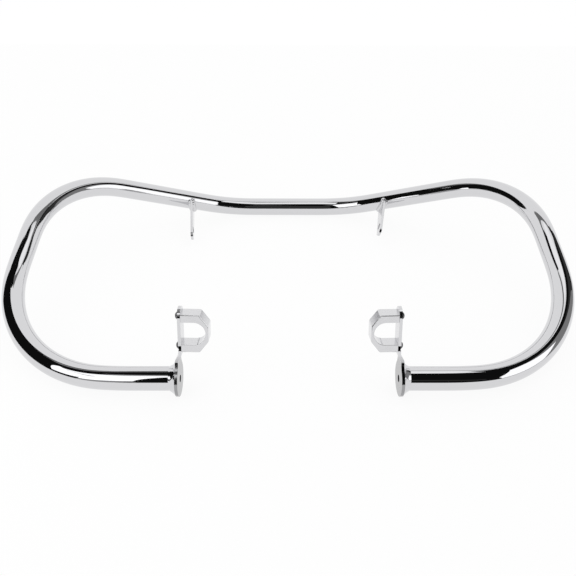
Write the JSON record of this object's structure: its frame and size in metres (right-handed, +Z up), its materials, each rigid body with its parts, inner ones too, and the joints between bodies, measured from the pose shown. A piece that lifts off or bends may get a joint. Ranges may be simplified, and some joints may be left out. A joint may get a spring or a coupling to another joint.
{
  "type": "motorcycle crash bars",
  "caption": "Chromed crash bars: one bent tube with a loop on each side, end plates with U-shaped frame clamps, and two drilled tabs under the upper run.",
  "frame": {"origin": "bottom centre of the guard's own box as it lies on a flat floor: the floor plane, midway between the sides, midway between front and back", "axes": "+X across the motorcycle, from the left leg to the right leg as the picture shows them; +Y from the plates towards the upper run; +Z up from the floor. The guard lies on its upper run, its two plate feet and its lower corners; fitted to a motorcycle it stands up, with the upper run at the top"},
  "size_m": [0.8364, 0.5382, 0.1319],
  "materials": {
    "chrome_tube": "mirror chrome plating on a bent steel tube",
    "chrome_plate": "chrome plating on flat steel plate",
    "polished_clamp": "chrome plating over a ground steel block, slightly satin",
    "chrome_weld": "chrome plating over a smoothed weld",
    "dark_screw": "dark steel"
  },
  "bodies": {
    "root": {"guard_tube": "chrome_tube", "plate_left": "chrome_plate", "plate_right": "chrome_plate", "end_weld_left": "chrome_weld", "end_weld_right": "chrome_weld", "clamp_left": "polished_clamp", "clamp_right": "polished_clamp", "screw_left_upper": "dark_screw", "screw_left_lower": "dark_screw", "screw_right_upper": "dark_screw", "screw_right_lower": "dark_screw", "washer_left_upper": "dark_screw", "washer_left_lower": "dark_screw", "washer_right_upper": "dark_screw", "washer_right_lower": "dark_screw", "tab_left": "chrome_plate", "tab_right": "chrome_plate", "tab_bead_left_outer": "chrome_weld", "tab_bead_left_inner": "chrome_weld", "tab_bead_right_outer": "chrome_weld", "tab_bead_right_inner": "chrome_weld"}
  },
  "joints": []
}
